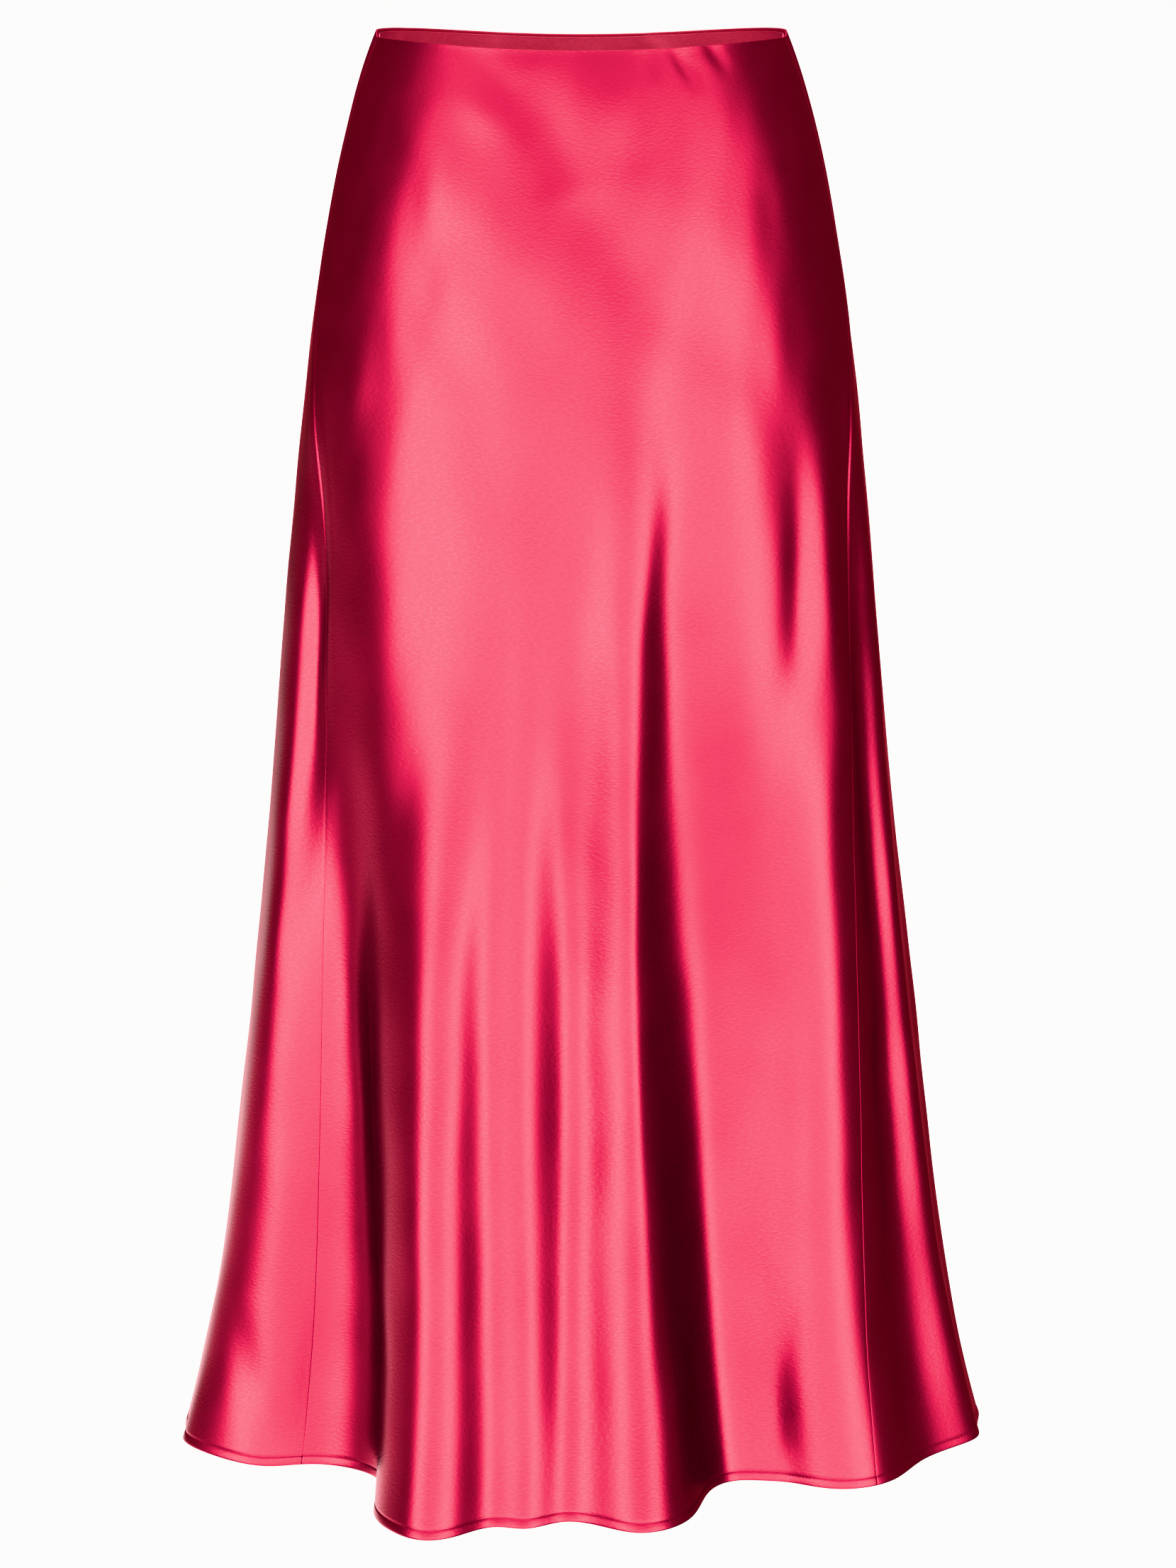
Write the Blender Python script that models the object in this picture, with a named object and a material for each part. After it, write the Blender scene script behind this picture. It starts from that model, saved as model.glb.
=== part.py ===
"""A bias-cut satin A-line midi skirt, filled out as if worn: front and back panels that skim the hips
and open into soft flutes at the hem, with a facing of the same cloth inside the waist.

The frame: the origin is the middle of the waist opening, at the height of its side seams. +Z is up,
the front faces -Y, and +X is to the right of someone who looks at the front. Lengths are in metres.
"""
import math

import bpy
import numpy as np

MM = 0.001

# Driving sizes
LENGTH = 840 * MM          # waist to hem along the side
THIGH = 340 * MM           # the folds are given at this level, at the knee and at the hem
KNEE = 550 * MM
CLOTH = 1.5 * MM           # wall that stands for the satin
HEM_TURN = 6 * MM          # depth of the narrow turned hem
HEM_WALL = 2.3 * MM        # wall where the hem is turned up
FACING_DEPTH = 38 * MM     # how far the waist facing reaches down inside
FACING_WALL = 1.0 * MM
SEAM_GAP = 0.3 * MM        # clearance between neighbouring pieces
PANEL_GAP = 0.55 * MM      # the same between the two panels, whose seams run aslant over the folds
WAIST_DIP = 5.3 * MM       # centre front and centre back sit this much lower than the sides
SEAM_BEHIND = 0.5 * MM     # the facing's top edge rolls in below the panel's by this much

# Side seams, as degrees round the body from centre front. They hang plumb below the hips, so the flare swings
# out past them
SEAM_COLUMNS = ("drop", "left", "right")
SEAMS = (
    (0, -82, 83),
    (30, -82, 83),
    (60, -82, 83.5),
    (110, -82, 85),
    (150, -80, 84),
    (180, -76, 79),
    (220, -70.5, 72.5),
    (280, -64, 67),
    (340, -59.5, 63.5),
    (400, -57.2, 60.2),
    (450, -56.5, 58.4),
    (520, -56.5, 56.6),
    (590, -57, 56),
    (680, -58.2, 56.2),
    (760, -59, 56),
    (840, -59.2, 55.4),
)

# Facets
PANEL_COLUMNS = 50
PANEL_DROPS = (0, 18, 38, 62, 92, 128, 168, 212, 258, 306, 356, 408, 460, 512, 564, 616, 668, 720, 768, 808, 834, 840)
FACING_COLUMNS = 26
FACING_ROWS = 2

# The plain body under the folds: a flattened ring at each drop below the waist, in millimetres
SECTION_COLUMNS = ("drop", "half_width", "front_depth", "back_depth")
SECTIONS = (
    (0, 118, 91, 91),
    (20, 126, 96, 97),
    (53, 136, 102, 108),
    (107, 147, 109, 122),
    (181, 158.5, 116, 132),
    (260, 167, 122, 137),
    (348, 175.5, 127, 140),
    (462, 185.5, 134, 144),
    (566, 197, 141, 149),
    (687, 211.5, 149, 156),
    (759, 223, 154, 161),
    (806, 233.5, 158, 165),
    (840, 242, 162, 169),
)

# The folds: "at" is where a fold's line leaves the plain body, in degrees round from centre front; "start" is
# the drop at which it begins to stand off. Then come, in millimetres, how far it stands off the plain body at
# thigh level, its places at knee level and at the hem, and how much the hem is lifted there
FOLD_COLUMNS = (
    "name", "at", "start", "thigh_dx", "thigh_dy", "knee_x", "knee_y", "hem_x", "hem_y", "hem_rise",
)
FOLDS = (
    ("back_mid_left_dip", -170, 150, 0, -4, -30, 132, -34, 150, 0),
    ("back_left_crest", -150, 150, 0, 3, -88, 152, -98, 190, 1),
    ("back_left_pocket", -132, 180, 2, -3, -126, 104, -138, 118, 0),
    ("back_side_crest", -114, 170, 0, 0, -172, 80, -206, 96, 1),
    ("back_left_side", -97, 170, 0, 0, -194, 28, -240, 34, 2),
    ("left_seam", -82, 190, 0, 0, -193, -18, -240, -12, 3),
    ("left_corner", -75, 200, 0, -5, -188, -46, -235, -38, 4),
    ("first_crest", -67, 190, 2, 5, -175, -61, -197, -65, 1),
    ("first_dip", -57, 150, -2, 14, -153, -68, -158, -61, 0),
    ("left_pocket", -47, 100, -3, 11, -130, -79, -119, -94, 0),
    ("left_edge", -39, 90, -4, 2, -119, -103, -120, -146, 0),
    ("left_shoulder", -31, 90, -4, 1, -106, -127, -108, -182, 0),
    ("second_crest", -24, 130, -2, 0, -84, -143, -87, -197, 0),
    ("step_top", -19, 130, 0, 0, -70, -145, -72, -195, 0),
    ("step_foot", -14, 130, 0, 1, -52, -135, -50, -175, 0),
    ("second_fall", -10, 130, 0, 1, -36, -132, -34, -168, 0),
    ("centre_dip", -4, 130, 0, 4, -14, -112, -16, -164, 0),
    ("centre_rise", 2, 120, 0, 1, 8, -124, 9, -181, 0),
    ("third_crest", 8, 110, -2, -6, 27, -137, 35, -197, 0),
    ("third_edge", 15, 110, -8, -3, 41, -119, 62, -162, 0),
    ("right_pocket", 22, 110, -13, 6, 57, -95, 71, -112, 0),
    ("pocket_turn", 27, 110, -8, 5, 73, -90, 86, -92, 0),
    ("right_dip", 31, 110, -3, 2, 87, -90, 101, -85, 0),
    ("fourth_rise", 41, 130, 0, 0, 116, -97, 125, -101, 0),
    ("fourth_crest", 50, 130, 2, -1, 147, -91, 154, -112, 0),
    ("right_wall", 59, 130, 1, -1, 166, -64, 186, -88, 0),
    ("right_bend", 67, 130, -2, 3, 176, -42, 207, -51, 1),
    ("right_flank", 75, 130, 1, -2, 190, -31, 236, -27, 4),
    ("right_seam", 83, 130, 0, 0, 193, -6, 240, -4, 4),
    ("back_right_side", 100, 150, 0, 0, 195, 40, 238, 44, 2),
    ("back_right_dip", 116, 180, 0, 0, 160, 74, 188, 74, 0),
    ("back_right_crest", 135, 180, 0, 2, 136, 122, 166, 150, 1),
    ("back_mid_right_dip", 152, 180, 0, -2, 84, 118, 92, 134, 0),
    ("back_mid_crest", 172, 150, 0, 3, 28, 164, 34, 196, 1),
)

SATIN = (0.78, 0.035, 0.085, 1.0)
SATIN_ROUGHNESS = 0.3
SATIN_METALLIC = 0.8


def column(table, columns, name, scale=MM):
    """One named column of a table, in metres unless a scale is given."""
    place = columns.index(name)
    return np.array([row[place] * scale for row in table], float)


def smooth_line(knots, values, at):
    """A natural cubic spline through the knots."""
    count = len(knots)
    step = np.diff(knots)
    slope = np.diff(values) / step
    matrix = np.eye(count)
    right = np.zeros(count)
    for i in range(1, count - 1):
        matrix[i, i - 1:i + 2] = step[i - 1], 2 * (step[i - 1] + step[i]), step[i]
        right[i] = 6 * (slope[i] - slope[i - 1])
    bend = np.linalg.solve(matrix, right)
    i = np.clip(np.searchsorted(knots, at) - 1, 0, count - 2)
    after = at - knots[i]
    before = knots[i + 1] - at
    curve = (bend[i] * before ** 3 + bend[i + 1] * after ** 3) / (6 * step[i])
    first = (values[i] / step[i] - bend[i] * step[i] / 6) * before
    second = (values[i + 1] / step[i] - bend[i + 1] * step[i] / 6) * after
    return curve + first + second


def closed_line(knots, values, at):
    """A smooth line that closes on itself after a full turn."""
    shared = 4
    turn = 360.0
    knots_round = np.concatenate([knots[-shared:] - turn, knots, knots[:shared] + turn])
    values_round = np.concatenate([values[-shared:], values, values[:shared]])
    return smooth_line(knots_round, values_round, (at - knots[0]) % turn + knots[0])


def body(at, drop):
    """Plan points of the plain body, without folds."""
    knots = column(SECTIONS, SECTION_COLUMNS, "drop")
    width, front, back = (
        smooth_line(knots, column(SECTIONS, SECTION_COLUMNS, name), drop)
        for name in ("half_width", "front_depth", "back_depth")
    )
    angle = np.radians(at)
    depth = np.where(np.cos(angle) > 0, front, back)
    return np.stack([width * np.sin(angle), -depth * np.cos(angle)], -1)


def eased(first, last, first_slope, last_slope, length, t):
    """A cubic from the first value to the last one, with the given slopes at its ends."""
    level = first * (1 - t) ** 2 * (1 + 2 * t) + last * t ** 2 * (3 - 2 * t)
    bend = first_slope * t * (1 - t) ** 2 - last_slope * t ** 2 * (1 - t)
    return level + bend * length


def fold_values(at):
    """Every column of the fold table, smoothly round the body."""
    knots = column(FOLDS, FOLD_COLUMNS, "at", 1.0)
    return {
        name: closed_line(knots, column(FOLDS, FOLD_COLUMNS, name), at)
        for name in FOLD_COLUMNS[2:]
    }


def fold_offset(at, drop, value):
    """How far the folds carry the cloth off the plain body, in plan."""
    thigh = np.stack([value["thigh_dx"], value["thigh_dy"]], -1)
    knee = np.stack([value["knee_x"], value["knee_y"]], -1) - body(at, np.full_like(at, KNEE))
    hem = np.stack([value["hem_x"], value["hem_y"]], -1) - body(at, np.full_like(at, LENGTH))
    start = value["start"][..., None]
    drop = drop[..., None]
    chord_thigh = thigh / (THIGH - start)
    chord_knee = (knee - thigh) / (KNEE - THIGH)
    chord_hem = (hem - knee) / (LENGTH - KNEE)
    slope_thigh = (chord_thigh + chord_knee) / 2
    slope_knee = (chord_knee + chord_hem) / 2
    t = np.clip((drop - start) / (THIGH - start), 0, 1)
    hip_part = eased(0, thigh, 0, slope_thigh, THIGH - start, t)
    t = np.clip((drop - THIGH) / (KNEE - THIGH), 0, 1)
    thigh_part = eased(thigh, knee, slope_thigh, slope_knee, KNEE - THIGH, t)
    t = np.clip((drop - KNEE) / (LENGTH - KNEE), 0, 1)
    hem_part = eased(knee, hem, slope_knee, chord_hem, LENGTH - KNEE, t)
    return np.where(drop < THIGH, hip_part, np.where(drop < KNEE, thigh_part, hem_part))


def cloth_point(at, drop):
    """The outer face of the cloth, at an angle round the body and a drop below the waist."""
    value = fold_values(at)
    plan = body(at, drop) + fold_offset(at, drop, value)
    dip = WAIST_DIP * np.abs(np.cos(np.radians(at))) ** 3 * (1 - drop / LENGTH)
    lift = value["hem_rise"] * (drop / LENGTH) ** 4
    return np.concatenate([plan, (lift - drop - dip)[..., None]], -1)


def cloth_normal(at, drop):
    """The outward unit normal of the cloth, from small steps along the surface."""
    turn_step = 0.05
    drop_step = 0.1 * MM
    low = np.maximum(drop - drop_step, 0)
    high = np.minimum(drop + drop_step, LENGTH)
    across = cloth_point(at + turn_step, drop) - cloth_point(at - turn_step, drop)
    down = cloth_point(at, high) - cloth_point(at, low)
    normal = np.cross(down, across)
    return normal / np.linalg.norm(normal, axis=-1, keepdims=True)


def seam_angle(side, drop):
    """Where a side seam lies at a drop, in degrees round the body."""
    knots = column(SEAMS, SEAM_COLUMNS, "drop")
    return smooth_line(knots, column(SEAMS, SEAM_COLUMNS, side, 1.0), drop)


def edges(name, drop):
    """The angles of a panel's two edges at a drop: the front runs from left to right, the back on round."""
    left = seam_angle("left", drop)
    right = seam_angle("right", drop)
    if name == "front":
        return left, right
    return right, left + 360


def even_columns(start, end, count):
    """Shares of a panel's width, even half by turn and half by length along the hem."""
    turn = np.linspace(0, 1, 2000)
    samples = start + turn * (end - start)
    hem = cloth_point(samples, np.full_like(samples, LENGTH))
    run = np.concatenate([[0], np.cumsum(np.linalg.norm(np.diff(hem, axis=0), axis=1))])
    share = (run / run[-1] + turn) / 2
    return np.interp(np.linspace(0, 1, count + 1), share, turn)


def spread_out(name, drops, count):
    """The angle and drop at each point of a panel's grid."""
    hem_start, hem_end = edges(name, np.array(LENGTH))
    share, drop = np.meshgrid(even_columns(hem_start, hem_end, count), drops)
    start, end = edges(name, drop)
    return start + share * (end - start), drop


def trimmed(points, gap):
    """A grid of points with its first and last columns moved in by half the seam gap, square to the seam."""
    for edge, inner in ((0, 1), (-1, -2)):
        run = points[:, inner] - points[:, edge]
        seam = np.gradient(points[:, edge], axis=0)
        seam /= np.linalg.norm(seam, axis=-1, keepdims=True)
        run -= np.sum(run * seam, axis=-1, keepdims=True) * seam
        points[:, edge] += run / np.linalg.norm(run, axis=-1, keepdims=True) * gap / 2
    return points


def satin(name):
    """The panel's own satin finish."""
    material = bpy.data.materials.new(name)
    material.use_nodes = True
    shader = material.node_tree.nodes["Principled BSDF"]
    shader.inputs["Base Color"].default_value = SATIN
    shader.inputs["Roughness"].default_value = SATIN_ROUGHNESS
    shader.inputs["Metallic"].default_value = SATIN_METALLIC
    return material


def wall(name, outer, inner):
    """A closed sheet between two grids of points: rows run down, columns run to the wearer's left."""
    rows, columns = outer.shape[:2]
    points = np.concatenate([outer.reshape(-1, 3), inner.reshape(-1, 3)])

    def outside(row, col):
        return row * columns + col

    def inside(row, col):
        return rows * columns + row * columns + col

    faces = []
    for row in range(rows - 1):
        for col in range(columns - 1):
            faces.append([outside(row, col), outside(row + 1, col), outside(row + 1, col + 1), outside(row, col + 1)])
            faces.append([inside(row, col), inside(row, col + 1), inside(row + 1, col + 1), inside(row + 1, col)])
    for col in range(columns - 1):
        last = rows - 1
        faces.append([outside(0, col), outside(0, col + 1), inside(0, col + 1), inside(0, col)])
        faces.append([outside(last, col + 1), outside(last, col), inside(last, col), inside(last, col + 1)])
    for row in range(rows - 1):
        last = columns - 1
        faces.append([outside(row + 1, 0), outside(row, 0), inside(row, 0), inside(row + 1, 0)])
        faces.append([outside(row, last), outside(row + 1, last), inside(row + 1, last), inside(row, last)])
    mesh = bpy.data.meshes.new(name)
    mesh.from_pydata(points.tolist(), [], faces)
    mesh.update()
    mesh.shade_smooth()
    mesh.set_sharp_from_angle(angle=math.radians(40))
    mesh.materials.append(satin(name + "_satin"))
    piece = bpy.data.objects.new(name, mesh)
    bpy.context.scene.collection.objects.link(piece)
    return piece


def panel(name):
    """The front or back panel, from waist to turned hem, with its inner face following the outer one."""
    at, drop = spread_out(name, np.array(PANEL_DROPS) * MM, PANEL_COLUMNS)
    thick = np.where(drop > LENGTH - HEM_TURN - 0.1 * MM, HEM_WALL, CLOTH)[..., None]
    outer = cloth_point(at, drop)
    inner = outer - cloth_normal(at, drop) * thick
    return wall(name + "_panel", trimmed(outer, PANEL_GAP), trimmed(inner, PANEL_GAP))


def facing(name):
    """The waist facing of the front or back panel, lying just inside it."""
    at, drop = spread_out(name, np.linspace(SEAM_BEHIND, FACING_DEPTH, FACING_ROWS + 1), FACING_COLUMNS)
    skin = cloth_point(at, drop)
    normal = cloth_normal(at, drop)
    outer = skin - normal * (CLOTH + 2 * SEAM_GAP)
    inner = outer - normal * FACING_WALL
    return wall("waist_facing_" + name, trimmed(outer, SEAM_GAP), trimmed(inner, SEAM_GAP))


def main():
    for item in list(bpy.data.objects):
        bpy.data.objects.remove(item)
    for name in ("front", "back"):
        panel(name)
        facing(name)


main()
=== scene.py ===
# %% [markdown]
# # A bias-cut satin skirt
#
# A midi skirt of raspberry satin: two panels, cut on the bias, meet in two side seams. The waist is finished with
# a narrow facing inside, and the hem is turned up twice and stitched. It hangs filled out, as if worn, and the
# weight of the flared hem pulls it into soft flutes. Lengths are in metres, the origin is the middle of the
# waist opening, +Z is up and the front faces -Y.
#
# The frame holds the skirt's solid panels. The cells below make what is seen in their place: the form, the
# cloth, its hem, facing and stitches, then the satin and the light.

import math

import bpy
import numpy as np
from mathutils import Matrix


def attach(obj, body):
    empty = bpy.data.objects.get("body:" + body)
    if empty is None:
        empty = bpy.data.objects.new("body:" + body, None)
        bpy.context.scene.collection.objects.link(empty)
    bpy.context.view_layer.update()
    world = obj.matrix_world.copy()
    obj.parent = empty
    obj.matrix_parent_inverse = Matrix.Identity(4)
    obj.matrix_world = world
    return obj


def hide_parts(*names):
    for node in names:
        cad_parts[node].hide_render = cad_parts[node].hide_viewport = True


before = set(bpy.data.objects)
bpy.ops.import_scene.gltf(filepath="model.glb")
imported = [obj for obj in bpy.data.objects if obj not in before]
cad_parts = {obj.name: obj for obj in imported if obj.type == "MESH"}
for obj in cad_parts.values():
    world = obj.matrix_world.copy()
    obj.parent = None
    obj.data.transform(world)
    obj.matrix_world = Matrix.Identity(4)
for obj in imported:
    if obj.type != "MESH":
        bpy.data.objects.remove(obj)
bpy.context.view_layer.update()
MM = 0.001

# %% [markdown]
# ## The block and its flutes
# A skirt starts from a block: the plain tube the cloth would make if it had no folds. It is measured as a
# flattened ring at each drop below the waist. Over it go the flutes. Each row of their table is a line down a
# crest or a dip: the drop where it leaves the block, and where it passes the thigh, the knee and the hem. The
# flutes in front are measured from the picture; the ones behind are guessed, with the same depth and spacing.
#
# Such a form could be sculpted, or draped by a cloth simulation. Tables are used because every flute has its own
# place, and a row can be moved without upsetting the others. They are in millimetres, and in degrees round the
# body from centre front.

# %% The block
LENGTH = 840 * MM
THIGH = 340 * MM
KNEE = 550 * MM
WAIST_DIP = 5.3 * MM  # centre front and centre back sit this much lower than the sides

SECTION_COLUMNS = ("drop", "half_width", "front_depth", "back_depth")
SECTIONS = (
    (0, 118, 91, 91),
    (20, 126, 96, 97),
    (53, 136, 102, 108),
    (107, 147, 109, 122),
    (181, 158.5, 116, 132),
    (260, 167, 122, 137),
    (348, 175.5, 127, 140),
    (462, 185.5, 134, 144),
    (566, 197, 141, 149),
    (687, 211.5, 149, 156),
    (759, 223, 154, 161),
    (806, 233.5, 158, 165),
    (840, 242, 162, 169),
)
print("block:", len(SECTIONS), "sections")

# %% The lines of the flutes
FOLD_COLUMNS = (
    "name", "at", "start", "thigh_dx", "thigh_dy", "knee_x", "knee_y", "hem_x", "hem_y", "hem_rise",
)
FOLDS = (
    ("back_mid_left_dip", -170, 150, 0, -4, -30, 132, -34, 150, 0),
    ("back_left_crest", -150, 150, 0, 3, -88, 152, -98, 190, 1),
    ("back_left_pocket", -132, 180, 2, -3, -126, 104, -138, 118, 0),
    ("back_side_crest", -114, 170, 0, 0, -172, 80, -206, 96, 1),
    ("back_left_side", -97, 170, 0, 0, -194, 28, -240, 34, 2),
    ("left_seam", -82, 190, 0, 0, -193, -18, -240, -12, 3),
    ("left_corner", -75, 200, 3, -5, -188, -46, -235, -38, 4),
    ("first_crest", -67, 190, 8, 4, -174, -61, -197, -65, 1),
    ("first_dip", -57, 200, 1, 12, -152, -68, -158, -61, 0),
    ("left_pocket", -47, 170, -3, 9, -130, -79, -119, -94, 0),
    ("left_edge", -39, 150, -4, 4, -119, -103, -120, -146, 0),
    ("left_shoulder", -31, 130, -4, 2, -106, -127, -108, -182, 0),
    ("second_crest", -24, 130, -2, 0, -86, -146, -89, -197, 0),
    ("step_top", -19, 130, 0, 0, -69, -143, -71, -190, 0),
    ("step_foot", -14, 130, 0, 1, -51, -132, -50, -174, 0),
    ("second_fall", -10, 130, 0, 1, -34, -133, -33, -177, 0),
    ("centre_dip", -4, 130, 0, 4, -10, -116, -10, -165, 0),
    ("centre_rise", 2, 120, 0, 1, 9, -120, 13, -174, 0),
    ("third_crest", 8, 110, -2, -6, 26, -128, 36, -184, 0),
    ("third_edge", 15, 110, -8, -3, 40, -117, 63, -160, 0),
    ("right_pocket", 22, 110, -13, 6, 58, -94, 75, -112, 0),
    ("pocket_turn", 27, 110, -8, 5, 74, -85, 90, -92, 0),
    ("right_dip", 31, 110, -3, 2, 88, -86, 105, -91, 0),
    ("fourth_rise", 41, 130, 0, 0, 116, -91, 127, -97, 0),
    ("fourth_crest", 50, 130, 2, -1, 145, -90, 154, -107, 0),
    ("right_wall", 59, 130, 1, -1, 166, -64, 186, -88, 0),
    ("right_bend", 67, 130, -2, 3, 176, -42, 207, -51, 1),
    ("right_flank", 75, 130, 1, -2, 190, -31, 236, -27, 4),
    ("right_seam", 83, 130, 0, 0, 193, -6, 240, -4, 4),
    ("back_right_side", 100, 150, 0, 0, 195, 40, 238, 44, 2),
    ("back_right_dip", 116, 180, 0, 0, 160, 74, 188, 74, 0),
    ("back_right_crest", 135, 180, 0, 2, 136, 122, 166, 150, 1),
    ("back_mid_right_dip", 152, 180, 0, -2, 84, 118, 92, 134, 0),
    ("back_mid_crest", 172, 150, 0, 3, 28, 164, 34, 196, 1),
)
print("flutes:", len(FOLDS), "lines")

# %% [markdown]
# ## The side seams
# A seam could run straight down the side of the form. On this skirt the seams leave the sides at the hips and
# hang plumb from there, so the flare past them belongs to the back panel. A table of where they lie at each
# drop says that best. Left and right are as the camera sees them.

# %% Where the side seams hang
SEAM_COLUMNS = ("drop", "left", "right")
SEAMS = (
    (0, -82, 83),
    (30, -82, 83),
    (60, -82, 83.5),
    (110, -82, 85),
    (150, -80, 84),
    (180, -76, 79),
    (220, -70.5, 72.5),
    (280, -64, 67),
    (340, -59.5, 63.5),
    (400, -57.2, 60.2),
    (450, -56.5, 58.4),
    (520, -56.5, 56.6),
    (590, -57, 56),
    (680, -58.2, 56.2),
    (760, -59, 56),
    (840, -59.2, 55.4),
)
print("seams at the hem:", SEAMS[-1][1:], "degrees")

# %% [markdown]
# ## Creases
# Cloth is never as even as its block. Along each flute run smaller creases: soft troughs where the bias
# stretches, and the sharp little streaks at the hips where the cloth turns. Each is a straight stroke laid on
# the cloth from a top to a foot, given by its angle round the body and its drop, with how wide it is and how
# far it stands out (or, below zero, sinks in). "lean" makes one flank steeper. Noise would crease the cloth
# everywhere alike; strokes can lie where the picture has them.

# %% The creases
CREASE_COLUMNS = ("name", "top_at", "top_drop", "foot_at", "foot_drop", "width", "depth", "lean")
CREASES = (
    ("right_hip_fold", 50, 205, 45, 385, 11, -2.6, 0),
    ("right_hip_fold_crest", 58, 200, 56, 400, 9, 0.8, 0),
    ("right_faint_trough", 41, 440, 42, 780, 8, -1.1, 0),
    ("left_overlap", -43, 520, -42, 850, 3, 0.9, 0),
    ("left_flank_dip", -72, 740, -64, 850, 14, -1.6, 0),
    ("waist_smudge", -41, -4, -14, 28, 10, -1.0, 0),
    ("waist_smudge_crest", -40, 20, -13, 50, 10, 0.5, 0),
    ("waist_trough_right", 23, -6, 33, 24, 5, -1.7, 0),
    ("waist_trough_far", 34, -6, 43, 16, 4, -1.0, 0),
    ("waist_trough_near", 15, -2, 20, 18, 4, -0.7, 0),
    ("bright_band_top", -15, 8, -2, 80, 17, -2.2, 0),
    ("bright_band", -14, 46, 16, 134, 20, -1.6, 0),
    ("bright_band_foot", 6, 106, 38, 196, 20, -1.2, 0),
    ("bright_ridge_top", -3, -16, 14, 60, 16, 1.2, 0),
    ("bright_ridge", 8, 50, 44, 150, 18, 1.0, 0),
    ("dim_band", -34, 60, 8, 196, 20, 0.8, 0),
    ("left_bright", -50, 80, -24, 200, 18, -1.2, 0),
    ("left_dim_top", -48, 30, -30, 110, 18, 1.0, 0),
    ("belly_dip", -30, 170, 14, 330, 26, -0.9, 0),
    ("belly_crest", -12, 180, 30, 330, 26, 0.8, 0),
    ("back_seat_left", -150, 90, -128, 300, 26, 1.0, 0),
    ("back_seat_right", 152, 80, 128, 290, 26, 1.0, 0),
    ("back_bias_one", 140, 40, 184, 230, 24, 0.9, 0),
    ("back_bias_two", 170, 120, 210, 310, 22, -0.9, 0),
    ("back_waist_trough_one", 160, -4, 152, 34, 7, -1.2, 0),
    ("back_waist_trough_two", -152, -4, -158, 30, 6, -0.9, 0),
    ("back_waist_trough_three", -118, -4, -114, 26, 6, -0.6, 0),
    ("back_flute_tail_one", -160, 600, -158, 850, 9, -1.3, 0),
    ("back_flute_tail_two", 144, 560, 142, 850, 9, -1.2, 0),
    ("back_side_streak_left", -104, 230, -112, 470, 8, 1.0, 0),
    ("back_side_streak_right", 104, 210, 112, 450, 8, 1.0, 0),
    ("back_side_dip_left", -110, 300, -120, 520, 9, -0.9, 0),
    ("back_side_dip_right", 110, 280, 121, 540, 9, -0.9, 0),
    ("back_hem_dip_left", -102, 700, -104, 850, 13, -1.4, 0),
    ("back_hem_dip_right", 98, 720, 96, 850, 12, -1.2, 0),
)
print("creases:", len(CREASES))

# %% [markdown]
# ## From tables to cloth
# Smooth curves run through every column of the tables, so the cloth has no corners that a maker didn't put
# there. A subdivided cage would be smooth too, but it would pull away from the measured places. The block is
# that of the solid panels, and the flutes are theirs tuned by a few millimetres. The creases come on top, square
# to the cloth.

# %% Smooth curves


def column(table, columns, name, scale=MM):
    """One named column of a table, in metres unless a scale is given."""
    place = columns.index(name)
    return np.array([row[place] * scale for row in table], float)


def smooth_line(knots, values, at):
    """A natural cubic spline through the knots."""
    count = len(knots)
    step = np.diff(knots)
    slope = np.diff(values) / step
    matrix = np.eye(count)
    right = np.zeros(count)
    for i in range(1, count - 1):
        matrix[i, i - 1:i + 2] = step[i - 1], 2 * (step[i - 1] + step[i]), step[i]
        right[i] = 6 * (slope[i] - slope[i - 1])
    bend = np.linalg.solve(matrix, right)
    i = np.clip(np.searchsorted(knots, at) - 1, 0, count - 2)
    after = at - knots[i]
    before = knots[i + 1] - at
    curve = (bend[i] * before ** 3 + bend[i + 1] * after ** 3) / (6 * step[i])
    first = (values[i] / step[i] - bend[i] * step[i] / 6) * before
    second = (values[i + 1] / step[i] - bend[i + 1] * step[i] / 6) * after
    return curve + first + second


def closed_line(knots, values, at):
    """A smooth line that closes on itself after a full turn."""
    shared = 4
    turn = 360.0
    knots_round = np.concatenate([knots[-shared:] - turn, knots, knots[:shared] + turn])
    values_round = np.concatenate([values[-shared:], values, values[:shared]])
    return smooth_line(knots_round, values_round, (at - knots[0]) % turn + knots[0])


def eased(first, last, first_slope, last_slope, length, t):
    """A cubic from the first value to the last one, with the given slopes at its ends."""
    level = first * (1 - t) ** 2 * (1 + 2 * t) + last * t ** 2 * (3 - 2 * t)
    bend = first_slope * t * (1 - t) ** 2 - last_slope * t ** 2 * (1 - t)
    return level + bend * length


def soft_step(value, low, high):
    """0 below low, 1 above high, smooth between."""
    t = np.clip((value - low) / (high - low), 0, 1)
    return t * t * (3 - 2 * t)


print("half widths of the block:", column(SECTIONS, SECTION_COLUMNS, "half_width").round(3).tolist())

# %% The block and its flutes


def body(at, drop):
    """Plan points of the plain block."""
    knots = column(SECTIONS, SECTION_COLUMNS, "drop")
    width, front, back = (
        smooth_line(knots, column(SECTIONS, SECTION_COLUMNS, name), drop)
        for name in ("half_width", "front_depth", "back_depth")
    )
    angle = np.radians(at)
    depth = np.where(np.cos(angle) > 0, front, back)
    return np.stack([width * np.sin(angle), -depth * np.cos(angle)], -1)


def fold_values(at):
    """Every column of the fold table, smoothly round the body."""
    knots = column(FOLDS, FOLD_COLUMNS, "at", 1.0)
    return {
        name: closed_line(knots, column(FOLDS, FOLD_COLUMNS, name), at)
        for name in FOLD_COLUMNS[2:]
    }


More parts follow.
